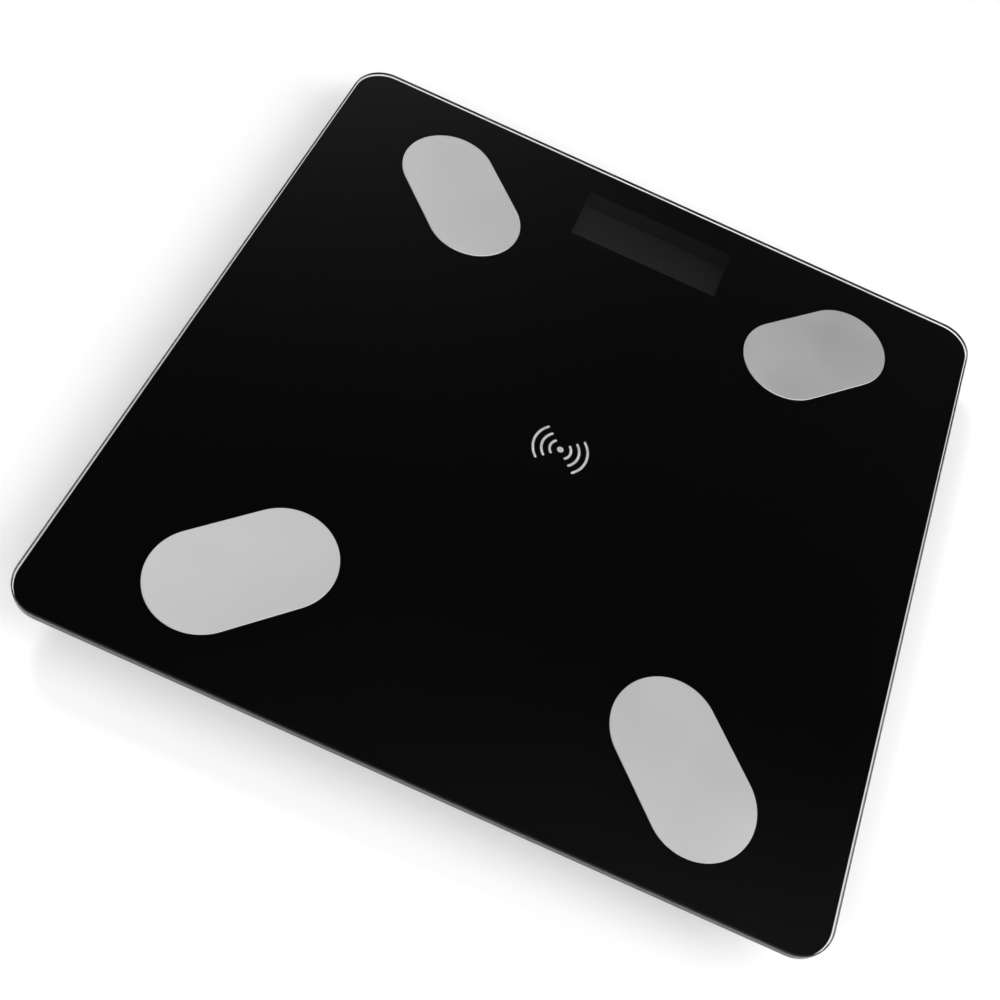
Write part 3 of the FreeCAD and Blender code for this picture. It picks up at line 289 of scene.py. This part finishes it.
def battery_wrap():
    """Satin sleeve of a cell with a plain band of another tone near each end, and bare steel ends."""
    paint = Paint("battery_wrap")
    place = paint.node("ShaderNodeSeparateXYZ", inputs={0: paint.coordinates}).outputs["X"]
    reach = paint.math("ABSOLUTE", place)
    low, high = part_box("battery_1")
    half = 0.5 * (high.x - low.x)
    bare = paint.math("GREATER_THAN", reach, half - BARE_END)
    inner, outer = (half - gap for gap in BAND_FROM_END)
    past_inner = paint.math("GREATER_THAN", reach, inner)
    stripe = paint.math("MULTIPLY", past_inner, paint.math("LESS_THAN", reach, outer))
    sleeve = paint.ramp(stripe, SLEEVE_DARK, SLEEVE_PALE, at=STEP)
    tone = paint.node("ShaderNodeMix", {"data_type": "RGBA"}, {0: bare, 6: sleeve, 7: CELL_STEEL}).outputs[2]
    paint.set(Base_Color=tone, Metallic=bare, Roughness=paint.ramp(paint.noise(scale=90.0), 0.25, 0.34))
    return paint.material


# ---- new pieces that stand for CAD nodes ----
INK_LIFT = 0.02 * MM
TOP_TOLERANCE = 0.01 * MM


def inked_copy(node, name):
    """A printed layer whose top lies just inside the glass, so that ink and glass are in optical contact."""
    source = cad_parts[node]
    mesh = source.data.copy()
    mesh.name = name
    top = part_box(node)[1].z
    for vertex in mesh.vertices:
        if abs(vertex.co.z - top) < TOP_TOLERANCE:
            vertex.co.z += INK_LIFT
    piece = bpy.data.objects.new(name, mesh)
    bpy.context.scene.collection.objects.link(piece)
    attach(piece, "root")
    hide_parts(node)
    return piece


def dress(piece, material):
    piece.data.materials.clear()
    piece.data.materials.append(material)


def make_prints():
    for node, name, slot, paint in (
        ("graphic_film", "print_layer", "black_print", black_print()),
        ("wireless_icon", "icon_ink", "white_ink", white_ink()),
    ):
        piece = inked_copy(node, name)
        dress(piece, paint)


# ---- finishes of the carried-over nodes ----
def strand_numbers(mesh):
    """For each face, the number of the loose wire that it belongs to."""
    parent = {}

    def leader(spot):
        while parent.setdefault(spot, spot) != spot:
            parent[spot] = parent[parent[spot]]
            spot = parent[spot]
        return spot

    spots = [tuple(round(c, 6) for c in vertex.co) for vertex in mesh.vertices]
    for face in mesh.polygons:
        first = leader(spots[face.vertices[0]])
        for index in face.vertices[1:]:
            parent[leader(spots[index])] = first
    leaders = [leader(spots[face.vertices[0]]) for face in mesh.polygons]
    order = sorted(set(leaders))
    return [order.index(spot) for spot in leaders]


def dress_strands(node, materials):
    """Each wire of a lead gets its own colour of insulation."""
    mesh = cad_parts[node].data
    mesh.materials.clear()
    for material in materials:
        mesh.materials.append(material)
    for face, number in zip(mesh.polygons, strand_numbers(mesh)):
        face.material_index = number % len(materials)


def paint_nodes():
    housing = moulded_plastic("housing_abs", (0.022, 0.022, 0.024), 0.52, 0.5)
    retainer = moulded_plastic("retainer_abs", (0.03, 0.03, 0.032), 0.5, 0.35)
    foot = moulded_plastic("foot_abs", (0.04, 0.04, 0.042), 0.48, 0.35)
    black = moulded_plastic("matt_black", (0.014, 0.014, 0.015), 0.6, 0.4)
    nylon = moulded_plastic("socket_nylon", (0.72, 0.70, 0.63), 0.45, 0.3, depth_mm=0.01)
    steel = satin_steel()
    tinned = rolled_metal("tinned_metal", (0.75, 0.74, 0.72), 0.3)
    zinc = rolled_metal("zinc_steel", (0.55, 0.55, 0.56), 0.32)
    nickel = rolled_metal("nickel_steel", (0.5, 0.49, 0.47), 0.36)
    cell = battery_wrap()
    silicone = soft_rubber("silicone", (0.74, 0.74, 0.72), 0.5)
    rubber = soft_rubber("foot_rubber", (0.03, 0.03, 0.03), 0.82)
    red = soft_rubber("lead_red", (0.45, 0.03, 0.025), 0.42)
    white = soft_rubber("lead_white", (0.6, 0.59, 0.56), 0.45)
    dark = soft_rubber("lead_black", (0.02, 0.02, 0.02), 0.42)
    finishes = {
        "glass_plate": clear_glass(),
        "electrode_pins": zinc,
        "electrode_terminals": tinned,
        "mounting_tape": soft_rubber("foam_tape", (0.05, 0.05, 0.05), 0.9, 2600.0, depth_mm=0.06),
        "glass_cushions": soft_rubber("foam_cushion", (0.09, 0.09, 0.09), 0.92, 1800.0, depth_mm=0.08),
        "base_housing": housing,
        "battery_door": housing,
        "battery_1": cell,
        "battery_2": cell,
        "contact_link": tinned,
        "contact_plus": tinned,
        "contact_minus": tinned,
        "electrode_leads": soft_rubber("lead_grey", (0.25, 0.25, 0.26), 0.45),
        "main_pcb": circuit_board(),
        "pcb_chips": black,
        "pcb_passives": tinned,
        "radio_module": rolled_metal("radio_can", (0.7, 0.7, 0.7), 0.28),
        "lead_sockets": nylon,
        "pcb_screws": zinc,
        "retainer_screws": zinc,
        "display_frame": recess_plastic_painted_shade(),
        "display_panel": black,
        "display_filter": smoked_filter(),
        "unit_button": moulded_plastic("button_abs", (0.05, 0.05, 0.052), 0.5, 0.3),
        "switch_plunger": nylon,
        "unit_switch": black,
        "strain_gauges": silicone,
    }
    for corner in CORNERS:
        finishes["electrode_" + corner] = steel
        finishes["load_cell_" + corner] = nickel
        finishes["load_pad_" + corner] = silicone
        finishes["sensor_retainer_" + corner] = retainer
        finishes["foot_shell_" + corner] = foot
        finishes["foot_pad_" + corner] = rubber
        dress_strands("sensor_lead_" + corner, (red, white, dark))
    dress_strands("battery_leads", (red, dark))
    for node, material in finishes.items():
        dress(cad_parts[node], material)


# ---- stage ----
FLOOR_REACH = 6.0
# The floor is clear at the first distance from the origin and whole at the second.
FLOOR_FADE = (1.6, 0.7)
# Name, place, size and power of each light. They all aim at the origin.
LIGHTS = (
    ("overhead", (0.0, -1.15, 1.4), (1.8, 0.9), 24.9),
    ("left_box", (-1.0, 0.95, 1.42), (0.4, 0.4), 11.2),
    ("right_box", (1.1, -0.15, 1.0), (0.9, 0.9), 12.5),
)


def floor_paint():
    """Pale matt floor that melts into the white studio away from the object."""
    paint = Paint("pale_floor")
    radius = paint.node("ShaderNodeVectorMath", {"operation": "LENGTH"}, {0: paint.coordinates})
    tone = paint.ramp(paint.noise(scale=6.0), 0.88, 0.9)
    paint.set(Base_Color=tone, Roughness=0.7, Specular_IOR_Level=0.2,
              Alpha=paint.fade(radius.outputs["Value"], FLOOR_FADE))
    return paint.material


def make_floor():
    corners = [(x * FLOOR_REACH, y * FLOOR_REACH, 0.0) for x, y in ((-1, -1), (1, -1), (1, 1), (-1, 1))]
    mesh = bpy.data.meshes.new("floor")
    mesh.from_pydata(corners, [], [(0, 1, 2, 3)])
    floor = bpy.data.objects.new("floor", mesh)
    bpy.context.scene.collection.objects.link(floor)
    dress(floor, floor_paint())


def make_lights():
    for name, place, size, power in LIGHTS:
        data = bpy.data.lights.new(name, "AREA")
        data.shape = "RECTANGLE"
        data.size, data.size_y = size
        data.energy = power
        light = bpy.data.objects.new(name, data)
        bpy.context.scene.collection.objects.link(light)
        place = Vector(place)
        turn = (-place).to_track_quat("-Z", "Y").to_matrix().to_4x4()
        light.matrix_world = Matrix.Translation(place) @ turn


# ---- world ----
# Heights are the sine of the angle above the horizon. Across and ahead are where a direction meets a ceiling
# one metre up. In each pair the light is off at the first value and full at the second.
ZENITH_LEVEL = 0.03
HORIZON_LEVEL = 0.7
HORIZON_HEIGHTS = (0.66, 0.25)
BACKDROP_LEVEL = 1.05
BACKDROP_HEIGHTS = (0.22, 0.04)
FAR_LEVEL = 0.051
FAR_AHEAD = (0.45, 1.6)
FAR_LEFT_LEVEL = 0.315
FAR_LEFT_ACROSS = (0.1, -0.5)
NEAR_RIGHT_LEVEL = 0.187
NEAR_AHEAD = (0.6, 0.2)
NEAR_RIGHT_ACROSS = (-0.35, 0.5)
GLOW_HEIGHTS = (0.35, 0.6)
LOWEST_HEIGHT = 0.05


def make_world():
    """The studio round the object, painted by direction: white low down, dim overhead, two soft glows."""
    world = bpy.data.worlds.new("studio")
    world.use_nodes = True
    sky = Nodes(world.node_tree)
    direction = sky.node("ShaderNodeTexCoord").outputs["Generated"]
    x, y, z = sky.node("ShaderNodeSeparateXYZ", inputs={0: direction}).outputs
    height = sky.math("MAXIMUM", z, LOWEST_HEIGHT)
    across = sky.math("DIVIDE", x, height)
    ahead = sky.math("DIVIDE", y, height)
    level = sky.math("ADD", sky.fade(z, HORIZON_HEIGHTS, HORIZON_LEVEL), ZENITH_LEVEL)
    level = sky.math("ADD", level, sky.fade(z, BACKDROP_HEIGHTS, BACKDROP_LEVEL - HORIZON_LEVEL))
    far_left = sky.math("ADD", sky.fade(across, FAR_LEFT_ACROSS, FAR_LEFT_LEVEL), FAR_LEVEL)
    far = sky.math("MULTIPLY", far_left, sky.fade(ahead, FAR_AHEAD))
    near_right = sky.fade(across, NEAR_RIGHT_ACROSS, NEAR_RIGHT_LEVEL)
    near = sky.math("MULTIPLY", sky.fade(ahead, NEAR_AHEAD), near_right)
    glow = sky.math("MULTIPLY", sky.math("ADD", far, near), sky.fade(z, GLOW_HEIGHTS))
    level = sky.math("ADD", level, glow)
    grey = sky.node("ShaderNodeCombineColor", inputs={"Red": level, "Green": level, "Blue": level})
    sky.put(sky.tree.nodes["Background"].inputs["Color"], grey.outputs[0])
    bpy.context.scene.world = world


make_camera()
make_world()
make_floor()
make_lights()
make_prints()
paint_nodes()

bpy.context.scene.view_settings.view_transform = "Standard"
